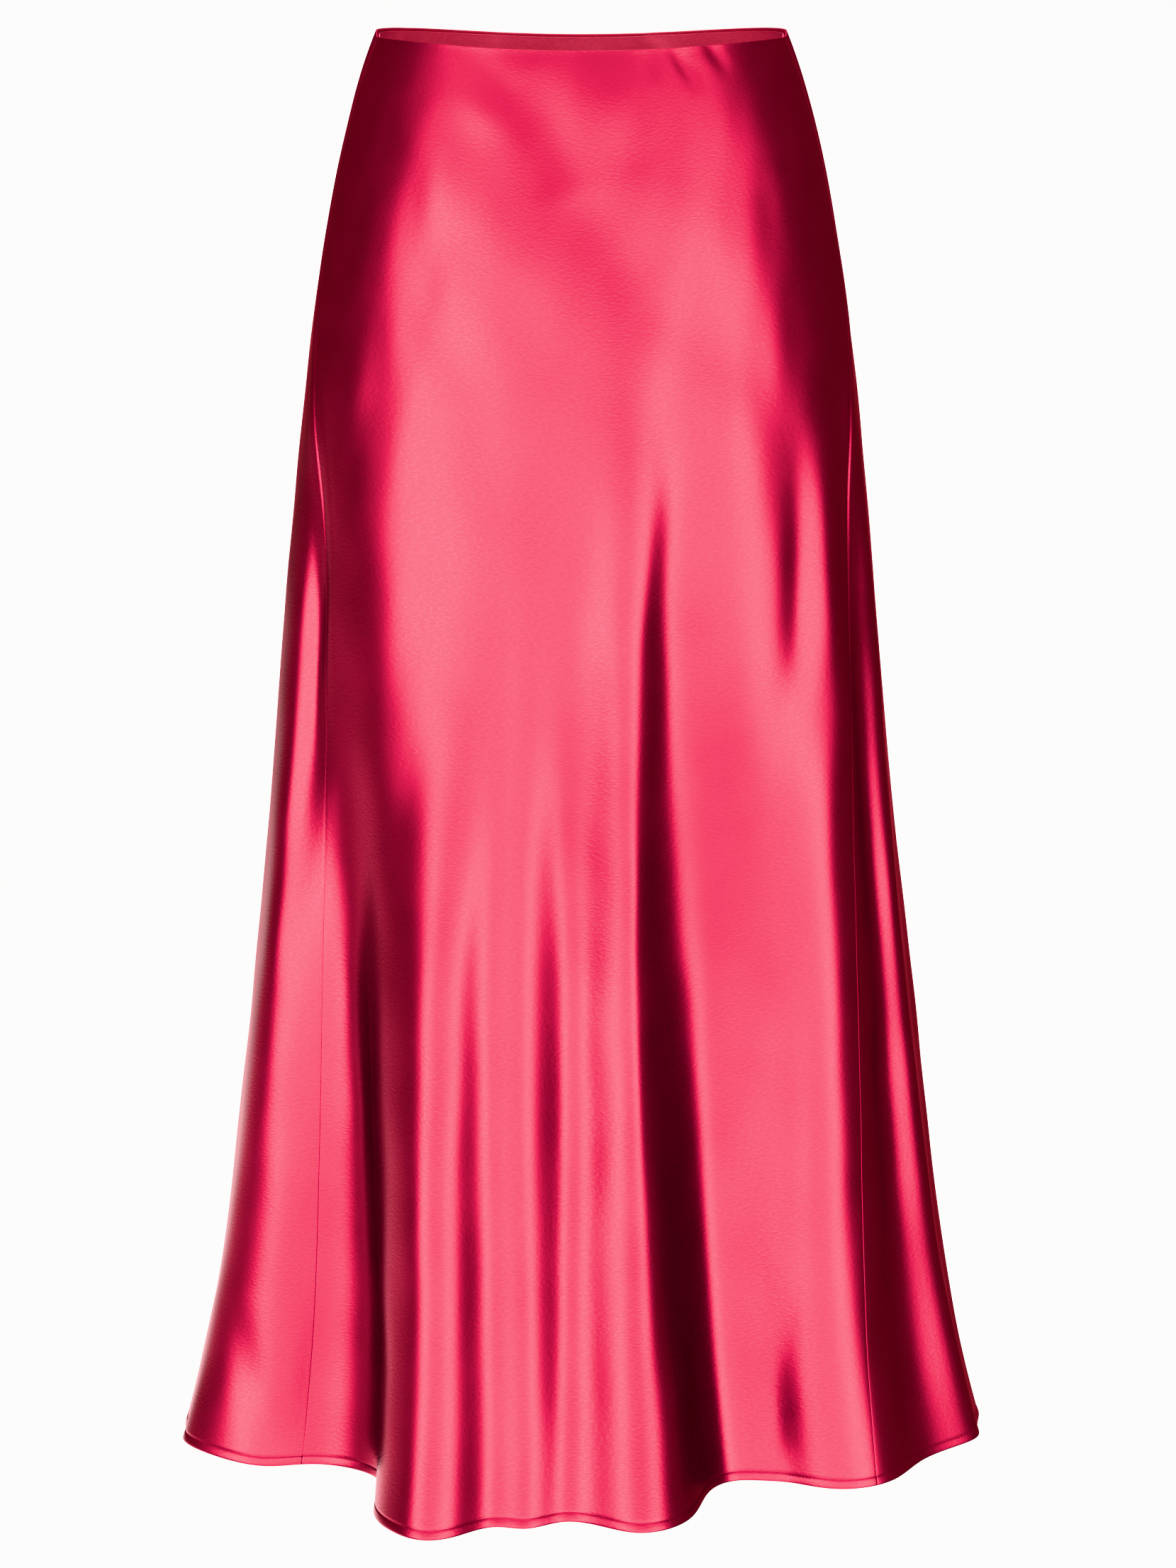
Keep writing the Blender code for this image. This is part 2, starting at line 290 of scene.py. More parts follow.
def fold_offset(at, drop, value):
    """How far the flutes carry the cloth off the plain block, in plan."""
    thigh = np.stack([value["thigh_dx"], value["thigh_dy"]], -1)
    knee = np.stack([value["knee_x"], value["knee_y"]], -1) - body(at, np.full_like(at, KNEE))
    hem = np.stack([value["hem_x"], value["hem_y"]], -1) - body(at, np.full_like(at, LENGTH))
    start = value["start"][..., None]
    drop = drop[..., None]
    chord_thigh = thigh / (THIGH - start)
    chord_knee = (knee - thigh) / (KNEE - THIGH)
    chord_hem = (hem - knee) / (LENGTH - KNEE)
    slope_thigh = (chord_thigh + chord_knee) / 2
    slope_knee = (chord_knee + chord_hem) / 2
    t = np.clip((drop - start) / (THIGH - start), 0, 1)
    hip_part = eased(0, thigh, 0, slope_thigh, THIGH - start, t)
    t = np.clip((drop - THIGH) / (KNEE - THIGH), 0, 1)
    thigh_part = eased(thigh, knee, slope_thigh, slope_knee, KNEE - THIGH, t)
    t = np.clip((drop - KNEE) / (LENGTH - KNEE), 0, 1)
    hem_part = eased(knee, hem, slope_knee, chord_hem, LENGTH - KNEE, t)
    return np.where(drop < THIGH, hip_part, np.where(drop < KNEE, thigh_part, hem_part))


print("first crest at", round(float(fold_values(np.array([-67.0]))["hem_x"][0]), 4), "across the hem")

# %% The seams, the waist edge and any point of the cloth
FRONT_RIDE = 1.1 * MM  # the worn waist rides up by these, in front, behind and beside the seams
BACK_RIDE = 2.1 * MM
SIDE_RIDE = 1.6 * MM
RIDE_DEPTH = 60 * MM
CORNER_TURN = 2.2  # degrees over which the back panel's edge drops to meet the front's


def seam_angle(side, drop):
    """Where a side seam lies at a drop, in degrees round the body."""
    knots = column(SEAMS, SEAM_COLUMNS, "drop")
    return smooth_line(knots, column(SEAMS, SEAM_COLUMNS, side, 1.0), drop)


def edges(name, drop):
    """The angles of a panel's two edges at a drop: the front runs from left to right, the back on round."""
    left = seam_angle("left", drop)
    right = seam_angle("right", drop)
    if name == "front":
        return left, right
    return right, left + 360


def waist_ride(at, drop):
    """How far the worn waist rides up: the back more than the front, most of all beside the side seams."""
    turn = np.radians(at)
    front = FRONT_RIDE * np.cos(turn) ** 2
    back = BACK_RIDE + SIDE_RIDE * np.sin(turn) ** 2
    left, right = edges("front", np.zeros(1))
    past_right = (at - right) % 360
    past_left = (left - at) % 360
    behind = np.minimum(past_right, past_left)
    is_back = past_right < (left - right) % 360
    corner = 1 - np.exp(-(behind / CORNER_TURN) ** 2)
    ride = np.where(is_back, back * corner, front)
    return ride * (1 - soft_step(drop, 0, RIDE_DEPTH)) ** 2


def block_point(at, drop):
    """The cloth before its creases, at an angle round the body and a drop below the waist."""
    value = fold_values(at)
    plan = body(at, drop) + fold_offset(at, drop, value)
    dip = WAIST_DIP * np.abs(np.cos(np.radians(at))) ** 3 * (1 - drop / LENGTH)
    lift = value["hem_rise"] * (drop / LENGTH) ** 4
    return np.concatenate([plan, (lift - drop - dip + waist_ride(at, drop))[..., None]], -1)


def normals_of(points):
    """Outward unit normals of a grid whose rows run down and columns run to the wearer's left."""
    down = np.gradient(points, axis=0)
    across = np.gradient(points, axis=1)
    normal = np.cross(down, across)
    return normal / np.linalg.norm(normal, axis=-1, keepdims=True)


print("centre front of the waist:", block_point(np.zeros(1), np.zeros(1))[0].round(4).tolist())

# %% The creases, laid on the cloth
RINGS = 43
RING_STEPS = 720
DRIFTS = (  # waves round the body, their slant down it, where they start, and their height
    (11, 38, 0.3, 0.16),
    (17, -46, 1.9, 0.10),
    (23, 62, 4.1, 0.07),
    (29, -28, 2.2, 0.06),
    (7, 82, 5.0, 0.07),
    (37, 54, 0.9, 0.04),
    (13, -104, 3.3, 0.05),
)
DRIFT_START = 60 * MM


def round_runs():
    """Distance along the cloth from centre front, on rings from waist to hem."""
    turn, level = np.meshgrid(np.linspace(-180, 180, RING_STEPS + 1), np.linspace(0, LENGTH, RINGS))
    points = block_point(turn, level)
    step = np.linalg.norm(np.diff(points, axis=1), axis=-1)
    run = np.concatenate([np.zeros((len(points), 1)), np.cumsum(step, axis=1)], axis=1)
    return run - run[:, [RING_STEPS // 2]]


RUNS = round_runs()


def girth_run(at, drop):
    """Distance along the cloth from centre front at any angle and drop, and the whole way round there."""
    row = np.clip(np.asarray(drop) / LENGTH * (RINGS - 1), 0, RINGS - 1.001)
    place = ((np.asarray(at) + 180) % 360) * RING_STEPS / 360
    i, j = row.astype(int), np.clip(place, 0, RING_STEPS - 0.001).astype(int)
    u, v = row - i, place - j
    upper = RUNS[i, j] * (1 - v) + RUNS[i, j + 1] * v
    lower = RUNS[i + 1, j] * (1 - v) + RUNS[i + 1, j + 1] * v
    girth = RUNS[i, -1] - RUNS[i, 0]
    return upper * (1 - u) + lower * u, girth


def crease_height(at, drop):
    """How far the creases lift the cloth off the flutes, at each point of a grid."""
    across, girth = girth_run(at, drop)
    height = np.zeros_like(across)
    for row in CREASES:
        crease = dict(zip(CREASE_COLUMNS, row))
        y0, y1 = crease["top_drop"] * MM, crease["foot_drop"] * MM
        x0 = float(girth_run(crease["top_at"], y0)[0])
        x1, foot_girth = (float(value) for value in girth_run(crease["foot_at"], y1))
        if x1 - x0 > foot_girth / 2:
            x1 -= foot_girth
        if x0 - x1 > foot_girth / 2:
            x1 += foot_girth
        length = math.hypot(x1 - x0, y1 - y0)
        along_x, along_y = (x1 - x0) / length, (y1 - y0) / length
        off = (across - x0 + girth / 2) % girth - girth / 2
        along = (off * along_x + (drop - y0) * along_y) / length
        side = (off * along_y - (drop - y0) * along_x) / (crease["width"] * MM)
        side = side * (1 + crease["lean"] * np.tanh(side))
        fade = np.clip(1 - (2 * along - 1) ** 2, 0, 1) ** 1.5
        height += crease["depth"] * MM * np.exp(-side ** 2) * fade
    return height


def drift(at, drop):
    """The slow unevenness of a soft cloth: a few long waves, crossing each other on the bias."""
    total = np.zeros_like(at)
    for waves, slant, start, height in DRIFTS:
        total += height * np.sin(waves * np.radians(at) + slant * drop + start)
    return total * MM * soft_step(drop, 0, DRIFT_START)


girths = RUNS[:, -1] - RUNS[:, 0]
print("girths every 100 mm, and at the hem:", girths[[*range(0, RINGS, 5), -1]].round(3).tolist())

# %% [markdown]
# ## Cutting and sewing the panels
# Each panel is one cut of cloth, shown as a thin closed shell. At the waist it rolls over to the inside. Towards
# a side seam the cloth turns in, so the two panels meet in a narrow groove, with the pressed seam allowance
# lifting the cloth a little on both sides. At the hem stitches the shell ends in a second groove, where the
# turned hem takes over. A Solidify modifier could give the cloth its thickness, but its edges would be plain.
# Here two grids are joined, one for each face, so each edge gets its own shape.

# %% A shell of cloth


def material(name):
    """One of the scene's materials, made on first use and finished further down."""
    found = bpy.data.materials.get(name)
    if found is None:
        found = bpy.data.materials.new(name)
        found.use_nodes = True
    return found


def shell(name, outer, inner, cut, looks):
    """A closed sheet between two grids: outside faces take the first look, inside faces the second one."""
    rows, columns = outer.shape[:2]
    count = rows * columns
    grid = np.arange(count).reshape(rows, columns)
    a, b = grid[:-1, :-1].ravel(), grid[1:, :-1].ravel()
    c, d = grid[1:, 1:].ravel(), grid[:-1, 1:].ravel()
    outside = np.stack([a, b, c, d], -1)
    inside = np.stack([a, d, c, b], -1) + count
    top = np.stack([grid[0, :-1], grid[0, 1:], grid[0, 1:] + count, grid[0, :-1] + count], -1)
    foot = np.stack([grid[-1, 1:], grid[-1, :-1], grid[-1, :-1] + count, grid[-1, 1:] + count], -1)
    left = np.stack([grid[1:, 0], grid[:-1, 0], grid[:-1, 0] + count, grid[1:, 0] + count], -1)
    right = np.stack([grid[:-1, -1], grid[1:, -1], grid[1:, -1] + count, grid[:-1, -1] + count], -1)
    faces = np.concatenate([outside, top, foot, left, right, inside])
    points = np.concatenate([outer.reshape(-1, 3), inner.reshape(-1, 3)])
    mesh = bpy.data.meshes.new(name)
    mesh.from_pydata(points.tolist(), [], faces.tolist())
    layer = mesh.uv_layers.new(name="cut")
    flat = np.concatenate([cut.reshape(-1, 2), cut.reshape(-1, 2)])
    order = np.empty(len(mesh.loops), np.int32)
    mesh.loops.foreach_get("vertex_index", order)
    layer.data.foreach_set("uv", flat[order].astype(np.float32).ravel())
    for look in looks:
        mesh.materials.append(material(look))
    slots = np.zeros(len(faces), np.int32)
    slots[len(faces) - len(inside):] = len(looks) - 1
    mesh.polygons.foreach_set("material_index", slots)
    mesh.polygons.foreach_set("use_smooth", np.ones(len(faces), bool))
    mesh.update()
    piece = bpy.data.objects.new(name, mesh)
    bpy.context.scene.collection.objects.link(piece)
    return piece


# %% The grid of a panel
SAMPLES = 4000
SEAM_STEPS = (0.0, 0.5, 1.1, 1.8, 2.7, 4.0, 5.6)  # the columns nearest to a seam, in millimetres from it
GROOVE = 0.7 * MM  # how deep the cloth turns in at a seam, and how wide that groove is
GROOVE_WIDTH = 1.1 * MM
ALLOWANCE_RISE = 0.35 * MM
ALLOWANCE_EDGE = (7 * MM, 11 * MM)
SEAM_FADE = (240 * MM, 420 * MM)  # the drops over which the pressed seam flattens out
SEAM_LOSS = 0.9


def shares(name, count):
    """Columns of a panel: shared out evenly over its cloth, with a few more close to each seam."""
    start, end = edges(name, np.array(LENGTH))
    turn = np.linspace(0, 1, SAMPLES)
    samples = start + turn * (end - start)
    hem = block_point(samples, np.full_like(samples, LENGTH))
    run = np.concatenate([[0], np.cumsum(np.linalg.norm(np.diff(hem, axis=0), axis=1))])
    share = (run / run[-1] + turn) / 2
    columns = np.interp(np.linspace(0, 1, count + 1), share, turn)
    near = np.array(SEAM_STEPS) * MM / run[-1]
    clear = near[-1] * 1.3
    kept = columns[(columns > clear) & (columns < 1 - clear)]
    return np.concatenate([near, kept, 1 - near[::-1]])


def spread_out(name, drops, columns):
    """The angle and drop at each point of a panel's grid."""
    share, drop = np.meshgrid(columns, drops)
    start, end = edges(name, drop)
    return start + share * (end - start), drop


def seam_shape(points, drop):
    """How far the cloth turns in at its side seams, and stands up over the pressed allowance."""
    step = np.linalg.norm(np.diff(points, axis=1), axis=-1)
    run = np.concatenate([np.zeros((len(points), 1)), np.cumsum(step, axis=1)], axis=1)
    edge = np.minimum(run, run[:, -1:] - run)
    groove = -GROOVE * np.exp(-(edge / GROOVE_WIDTH) ** 2)
    allowance = ALLOWANCE_RISE * (1 - soft_step(edge, *ALLOWANCE_EDGE))
    return (groove + allowance) * (1 - SEAM_LOSS * soft_step(drop, *SEAM_FADE))


def creased(at, drop):
    """Cloth points with every crease on them, and their outward normals."""
    points = block_point(at, drop)
    normal = normals_of(points)
    height = crease_height(at, drop) + drift(at, drop) + seam_shape(points, drop)
    points = points + normal * height[..., None]
    return points, normals_of(points)


def cut_places(points):
    """Places on the flat cut, in metres: across from the middle column, and down from the waist."""
    step = np.linalg.norm(np.diff(points, axis=1), axis=-1)
    across = np.concatenate([np.zeros((len(points), 1)), np.cumsum(step, axis=1)], axis=1)
    across -= across[:, [across.shape[1] // 2]]
    step = np.linalg.norm(np.diff(points, axis=0), axis=-1)
    down = np.concatenate([np.zeros((1, points.shape[1])), np.cumsum(step, axis=0)])
    return np.stack([across, down], -1)


print("columns nearest to a seam:", SEAM_STEPS, "mm from it")

# %% The two panels
CLOTH = 0.7 * MM
EDGE_ROLL = 0.6 * MM
ROLL_TURNS = (84, 58, 30, 12)
FRONT_COLUMNS = 180
BACK_COLUMNS = 200
PANEL_ROWS = 210
HEM_STITCH = 5.0 * MM  # how far the stitches are from the edge
STITCH_ROWS = (1.5, 1.0, 0.6, 0.25, 0.0)  # the last rows, in millimetres above the stitches
STITCH_GROOVE = 0.18 * MM
SEAM_OVERLAP = 0.05 * MM


def panel(name, columns):
    """One panel from the waist roll to the hem stitches."""
    last = LENGTH - HEM_STITCH
    drops = np.linspace(EDGE_ROLL, last - 2 * MM, PANEL_ROWS)
    drops = np.concatenate([drops, last - np.array(STITCH_ROWS) * MM])
    at, drop = spread_out(name, drops, shares(name, columns))
    skin, normal = creased(at, drop)
    groove = STITCH_GROOVE * soft_step(drop, last - 1.6 * MM, last)
    skin = skin - normal * groove[..., None]
    inner = skin - normal * CLOTH
    inner[0] = skin[0] - normal[0] * 2 * EDGE_ROLL
    centre = skin[0] - normal[0] * EDGE_ROLL
    up = np.array([0.0, 0.0, 1.0])
    roll_out, roll_in = [], []
    for turn in np.radians(ROLL_TURNS):
        roll_out.append(centre + EDGE_ROLL * (math.cos(turn) * normal[0] + math.sin(turn) * up))
        roll_in.append(centre + EDGE_ROLL * (-math.cos(turn) * normal[0] + math.sin(turn) * up))
    outer = np.concatenate([np.array(roll_out), skin])
    inner = np.concatenate([np.array(roll_in), inner])
    for grid in (outer, inner):
        for edge, inward in ((0, 1), (-1, -2)):
            run = grid[:, inward] - grid[:, edge]
            grid[:, edge] -= run / np.linalg.norm(run, axis=-1, keepdims=True) * SEAM_OVERLAP
    cut = cut_places(outer)
    print(name, "panel, flat:", np.ptp(cut, axis=(0, 1)).round(3).tolist())
    return shell(name + "_cloth", outer, inner, cut, ("satin", "satin_inside"))


front_cloth = panel("front", FRONT_COLUMNS)
back_cloth = panel("back", BACK_COLUMNS)
for piece in (front_cloth, back_cloth):
    print(piece.name, len(piece.data.polygons), "faces")

# %% [markdown]
# ## The turned hem
# The edge is turned up twice and held by a row of stitches. Each stitch pulls the layers together, so the
# cloth puffs between the stitches and the fold, and dips a little under every stitch. Painted on, or made as
# bump, it would vanish from the edge seen side on. So it is a strip of its own, fine enough for every dip.

# %% The hems
STITCH_PITCH = 2.2 * MM
STITCH_PULL = 0.16 * MM
HEM_COLUMN = 0.9 * MM
HEM_COLUMNS = 400  # of the line that those are laid out on
HEM_LINES = (14, 10, HEM_STITCH / MM, 0)  # millimetres above the fold: two to lead in, the stitches, the fold
HEM_STEPS = (0.0, 0.06, 0.14, 0.26, 0.42, 0.6, 0.78, 0.9)  # rows, as shares of the way down to the fold
HEM_PUFF = 0.3 * MM
HEM_DIP = 0.2 * MM
HEM_WANDER = 0.25 * MM
HEM_WALL = 1.7 * MM
HEM_PINCH = 0.5 * MM
FOLD_RADIUS = 1.05 * MM
FOLD_TURNS = (25, 50, 78)


def hem(name):
    """The turned edge of one panel, from its stitch line round the fold and up inside."""
    drops = LENGTH - np.array(HEM_LINES) * MM
    at, drop = spread_out(name, drops, shares(name, HEM_COLUMNS))
    line, normal = creased(at, drop)
    run = np.concatenate([[0], np.cumsum(np.linalg.norm(np.diff(line[2], axis=0), axis=-1))])
    places = np.linspace(0, run[-1], round(run[-1] / HEM_COLUMN) + 1)

    def along(values):
        return np.stack([np.interp(places, run, values[:, i]) for i in range(values.shape[1])], -1)

    top, foot, out = along(line[2]), along(line[3]), along(normal[2])
    pull = STITCH_PULL * np.cos(2 * np.pi * places / STITCH_PITCH)
    wander = HEM_WANDER * np.sin(places / (23 * MM) + 1.3) * np.sin(places / (57 * MM))
    outer, inner = [], []
    for step in HEM_STEPS:
        puff = HEM_PUFF * math.sin(math.pi * (step * 0.62 + 0.02))
        dip = HEM_DIP * math.exp(-(step / 0.08) ** 2)
        near = math.exp(-(step / 0.16) ** 2)
        lift = puff - dip - near * pull + wander * step
        middle_line = top + (foot - top) * step
        outer.append(middle_line + out * lift[:, None])
        inner.append(middle_line - out * (HEM_WALL - HEM_PINCH * near))
    puff = HEM_PUFF * math.sin(math.pi * 0.58)
    centre = top + (foot - top) * HEM_STEPS[-1] + out * (puff - FOLD_RADIUS)
    centre = centre + out * (wander * HEM_STEPS[-1])[:, None]
    down = (foot - top) / np.linalg.norm(foot - top, axis=-1, keepdims=True)
    for turn in np.radians(FOLD_TURNS):
        outer.append(centre + FOLD_RADIUS * (math.cos(turn) * out + math.sin(turn) * down))
        inner.append(centre + FOLD_RADIUS * (-math.cos(turn) * out + math.sin(turn) * down))
    outer, inner = np.array(outer), np.array(inner)
    height = np.linalg.norm(outer - outer[:1], axis=-1) + LENGTH - HEM_STITCH
    cut = np.stack([np.broadcast_to(places - run[-1] / 2, height.shape), height], -1)
    return shell(name + "_hem", outer, inner, cut, ("satin", "satin_inside")), top, out, run[-1]


front_hem, front_line, front_out, front_run = hem("front")
back_hem, back_line, back_out, back_run = hem("back")
print("hem lengths", round(front_run, 3), round(back_run, 3))

# %% [markdown]
# ## The facing
# Inside the waist lies a facing of the same cloth. It is understitched, so it stays a little below the edge
# and puckers softly. It could be a copy of the panel's top, moved in. It is made afresh on the same form, so that
# its puckers are its own and it still keeps clear of the panel where that sinks in.

# %% The facings
FACING_DEPTH = 38 * MM
FACING_BELOW = 1.3 * MM
FACING_ROWS = 22
FACING_COLUMNS = 260
FACING_CLOTH = 0.5 * MM
FACING_GAP = 2.15 * MM  # from the form to the facing's outer face
TOP_ROWS = (0.0, 0.3, 0.9)  # millimetres below the facing's edge, and how far that edge tucks in there
TOP_TUCK = (0.45, 0.12, 0.0)
PUCKER_START = (2 * MM, 14 * MM)
PUCKER_END = (20 * MM, 38 * MM)


def facing(name):
    """The facing of one panel: it hangs just inside the cloth and ends in a narrow neatened edge."""
    top = FACING_BELOW + np.array(TOP_ROWS) * MM
    drops = np.concatenate([top, np.linspace(FACING_BELOW + 2 * MM, FACING_DEPTH, FACING_ROWS)])
    at, drop = spread_out(name, drops, np.linspace(0, 1, FACING_COLUMNS + 1))
    points = block_point(at, drop)
    sunk = np.minimum(crease_height(at, drop) + drift(at, drop), 0)
    points = points + normals_of(points) * sunk[..., None]
    normal = normals_of(points)
    turn = np.radians(at)
    puckers = (
        0.5 * np.sin(31 * turn + 1.0) * np.sin(9 * turn)
        + 0.35 * np.sin(53 * turn + 2.0 + drop * 60)
        + 0.3 * np.sin(17 * turn - drop * 40)
    ) * MM * soft_step(drop, *PUCKER_START) * (1 - 0.4 * soft_step(drop, *PUCKER_END))
    tuck = np.array(TOP_TUCK + (0.0,) * FACING_ROWS)[:, None] * MM
    depth = FACING_GAP + tuck + np.abs(puckers) * 0.6
    outer = points - normal * depth[..., None]
    inner = outer - normal * (FACING_CLOTH - 0.7 * tuck)[..., None]
    # The facing wears the lighter satin copy, whose brightness is painted light inside the waist.
    return shell("facing_" + name, outer, inner, cut_places(outer), ("facing_satin", "facing_satin"))


facing_front = facing("front")
facing_back = facing("back")
print("facing faces", len(facing_front.data.polygons), len(facing_back.data.polygons))

# %% [markdown]
# ## Hem stitches
# A stitch is a short length of thread that dives into the cloth at both ends. Some seven hundred go round the
# hem, too many to place by hand. One is made, and Geometry Nodes repeat it along the stitch line, with a little
# change in tilt and size from one to the next.

# %% One stitch
STITCH_HALF = 0.78 * MM
THREAD_SIDES = 6
STITCH_COLUMNS = ("along", "height", "radius")
STITCH = (
    (-1.0, -0.12, 0.0),
    (-0.8, 0.0, 0.15),
    (-0.3, 0.09, 0.19),
    (0.3, 0.09, 0.19),
    (0.8, 0.0, 0.15),
    (1.0, -0.12, 0.0),
)


def tube(name, centre_line, radius, sides):
    """A closed thread along a line, tapering at both ends."""
    count = len(centre_line)
    points = [list(centre_line[0])]
    for i in range(1, count - 1):
        for k in range(sides):
            turn = 2 * math.pi * k / sides
            x, y, z = centre_line[i]
            points.append([x, y + radius[i] * math.cos(turn), z + radius[i] * math.sin(turn)])
    points.append(list(centre_line[-1]))
    faces = []
    for k in range(sides):
        after = (k + 1) % sides
        faces.append([0, 1 + after, 1 + k])
        for i in range(count - 3):
            low, high = 1 + i * sides, 1 + (i + 1) * sides
            faces.append([low + k, low + after, high + after, high + k])
        low = 1 + (count - 3) * sides
        faces.append([low + k, low + after, len(points) - 1])
    mesh = bpy.data.meshes.new(name)
    mesh.from_pydata(points, [], faces)
    mesh.update()
    mesh.shade_smooth()
    piece = bpy.data.objects.new(name, mesh)
    bpy.context.scene.collection.objects.link(piece)
    return piece


bends = [(along * STITCH_HALF, 0, height * MM) for along, height, radius in STITCH]
stitch = tube("one_stitch", bends, column(STITCH, STITCH_COLUMNS, "radius"), THREAD_SIDES)
print("one stitch:", len(stitch.data.polygons), "faces")

# %% The stitches of both hems, by Geometry Nodes
SEED = 7
STITCH_TILT = 0.09
STITCH_SIZES = (0.88, 1.1)
STITCH_SINK = 0.42 * MM
STITCH_INPUTS = (
    ("Line", "Geometry"), ("Stitch", "Object"), ("Pitch", "Float"), ("Tilt", "Float"), ("Smallest", "Float"),
    ("Largest", "Float"), ("Seed", "Int"), ("Thread", "Material"),
)


def stitch_tree():
    """Puts a stitch on every pitch of a line and turns it along the line, a little unevenly."""
    tree = bpy.data.node_groups.new("hem_stitches", "GeometryNodeTree")
    for name, kind in STITCH_INPUTS:
        tree.interface.new_socket(name, in_out="INPUT", socket_type="NodeSocket" + kind)
    tree.interface.new_socket("Stitches", in_out="OUTPUT", socket_type="NodeSocketGeometry")
    nodes = tree.nodes
    given = nodes.new("NodeGroupInput")
    made = nodes.new("NodeGroupOutput")
    curve = nodes.new("GeometryNodeMeshToCurve")
    points = nodes.new("GeometryNodeCurveToPoints")
    points.mode = "LENGTH"
    info = nodes.new("GeometryNodeObjectInfo")
    turn = nodes.new("FunctionNodeAlignRotationToVector")
    turn.axis = "X"
    uneven = nodes.new("FunctionNodeRandomValue")
    uneven.data_type = "FLOAT_VECTOR"
    size = nodes.new("FunctionNodeRandomValue")
    size.data_type = "FLOAT"
    spin = nodes.new("FunctionNodeRotateRotation")
    spin.rotation_space = "LOCAL"
    low = nodes.new("ShaderNodeMath")
    low.operation = "MULTIPLY"
    low.inputs[1].default_value = -1.0
    place = nodes.new("GeometryNodeInstanceOnPoints")
    real = nodes.new("GeometryNodeRealizeInstances")
    paint = nodes.new("GeometryNodeSetMaterial")
    for source, target in (
        (given.outputs["Line"], curve.inputs["Mesh"]),
        (curve.outputs["Curve"], points.inputs["Curve"]),
        (given.outputs["Pitch"], points.inputs["Length"]),
        (given.outputs["Stitch"], info.inputs["Object"]),
        (points.outputs["Tangent"], turn.inputs["Vector"]),
        (given.outputs["Tilt"], low.inputs[0]),
        (low.outputs[0], uneven.inputs["Min"]),
        (given.outputs["Tilt"], uneven.inputs["Max"]),
        (given.outputs["Seed"], uneven.inputs["Seed"]),
        (given.outputs["Seed"], size.inputs["Seed"]),
        (given.outputs["Smallest"], size.inputs[2]),
        (given.outputs["Largest"], size.inputs[3]),
        (turn.outputs["Rotation"], spin.inputs["Rotation"]),
        (uneven.outputs["Value"], spin.inputs["Rotate By"]),
        (points.outputs["Points"], place.inputs["Points"]),
        (info.outputs["Geometry"], place.inputs["Instance"]),
        (spin.outputs["Rotation"], place.inputs["Rotation"]),
        (size.outputs[1], place.inputs["Scale"]),
        (place.outputs["Instances"], real.inputs["Geometry"]),
        (real.outputs["Geometry"], paint.inputs["Geometry"]),
        (given.outputs["Thread"], paint.inputs["Material"]),
        (paint.outputs["Geometry"], made.inputs["Stitches"]),
    ):
        tree.links.new(source, target)
    return tree


def stitched(name, line, out, tree):
    """The row of stitches along one hem."""
    places = line - out * STITCH_SINK
    mesh = bpy.data.meshes.new(name + "_line")
    mesh.from_pydata(places.tolist(), [(i, i + 1) for i in range(len(places) - 1)], [])
    piece = bpy.data.objects.new(name + "_line", mesh)
    bpy.context.scene.collection.objects.link(piece)
    modifier = piece.modifiers.new("stitches", "NODES")
    modifier.node_group = tree
    given = {
        "Stitch": stitch, "Pitch": STITCH_PITCH, "Tilt": STITCH_TILT, "Seed": SEED, "Thread": material("thread"),
        "Smallest": STITCH_SIZES[0], "Largest": STITCH_SIZES[1],
    }
    for item in tree.interface.items_tree:
        if item.item_type == "SOCKET" and item.in_out == "INPUT" and item.name in given:
            modifier[item.identifier] = given[item.name]
    piece.update_tag()
    bpy.context.view_layer.update()
    ready = piece.evaluated_get(bpy.context.evaluated_depsgraph_get())
    made = bpy.data.meshes.new_from_object(ready)
    made.name = name
    piece.modifiers.clear()
    bpy.data.objects.remove(piece)
    row = bpy.data.objects.new(name, made)
    bpy.context.scene.collection.objects.link(row)
    return row


tree = stitch_tree()
front_stitches = stitched("front_hem_stitches", front_line, front_out, tree)
back_stitches = stitched("back_hem_stitches", back_line, back_out, tree)
bpy.data.objects.remove(stitch)
print("stitch faces", len(front_stitches.data.polygons), len(back_stitches.data.polygons))

# %% [markdown]
# ## Satin
# Satin is a weave whose long floats lie side by side and shine. The light it throws back is strongly coloured,
# almost like metal, with a soft edge, so a mostly metallic shader suits it better than one for matt cloth with
# sheen. The panels are cut on the bias, so the floats run at 45 degrees on each piece's own flat cut. The cloth
# has a fine grain of tiny irregular floats, and slow cloudy changes in how tightly it lies.

# %% Nodes in short


class Nodes:
    """A short way to add and join the nodes of one material."""

    def __init__(self, tree):
        self.tree = tree

    def add(self, kind, given=None, **facts):
        """A node with its settings, and with a value or a link for each input that is given."""
        node = self.tree.nodes.new(kind)
        for name, value in facts.items():
            setattr(node, name, value)
        for name, value in (given or {}).items():
            self.give(node.inputs[name], value)
        return node

    def give(self, socket, value):
        if isinstance(value, bpy.types.NodeSocket):
            self.tree.links.new(value, socket)
        else:
            socket.default_value = value

    def math(self, operation, first, second=0.0):
        return self.add("ShaderNodeMath", {0: first, 1: second}, operation=operation).outputs[0]

    def spread(self, value, low, high, to_low, to_high, smooth=False):
        node = self.add("ShaderNodeMapRange", interpolation_type="SMOOTHSTEP" if smooth else "LINEAR")
        for name, number in (
            ("Value", value), ("From Min", low), ("From Max", high), ("To Min", to_low), ("To Max", to_high),
        ):
            self.give(node.inputs[name], number)
        return node.outputs[0]


# %% The satins
BIAS = (0, 0, math.radians(45))
FLOAT_SIZE = 1.3 * MM
FLOAT_STRETCH = (0.45, 1.0, 1.0)
CLOUD_SIZE = 38 * MM
YARN = 0.14 * MM
SATIN_BUMP = 0.06 * MM


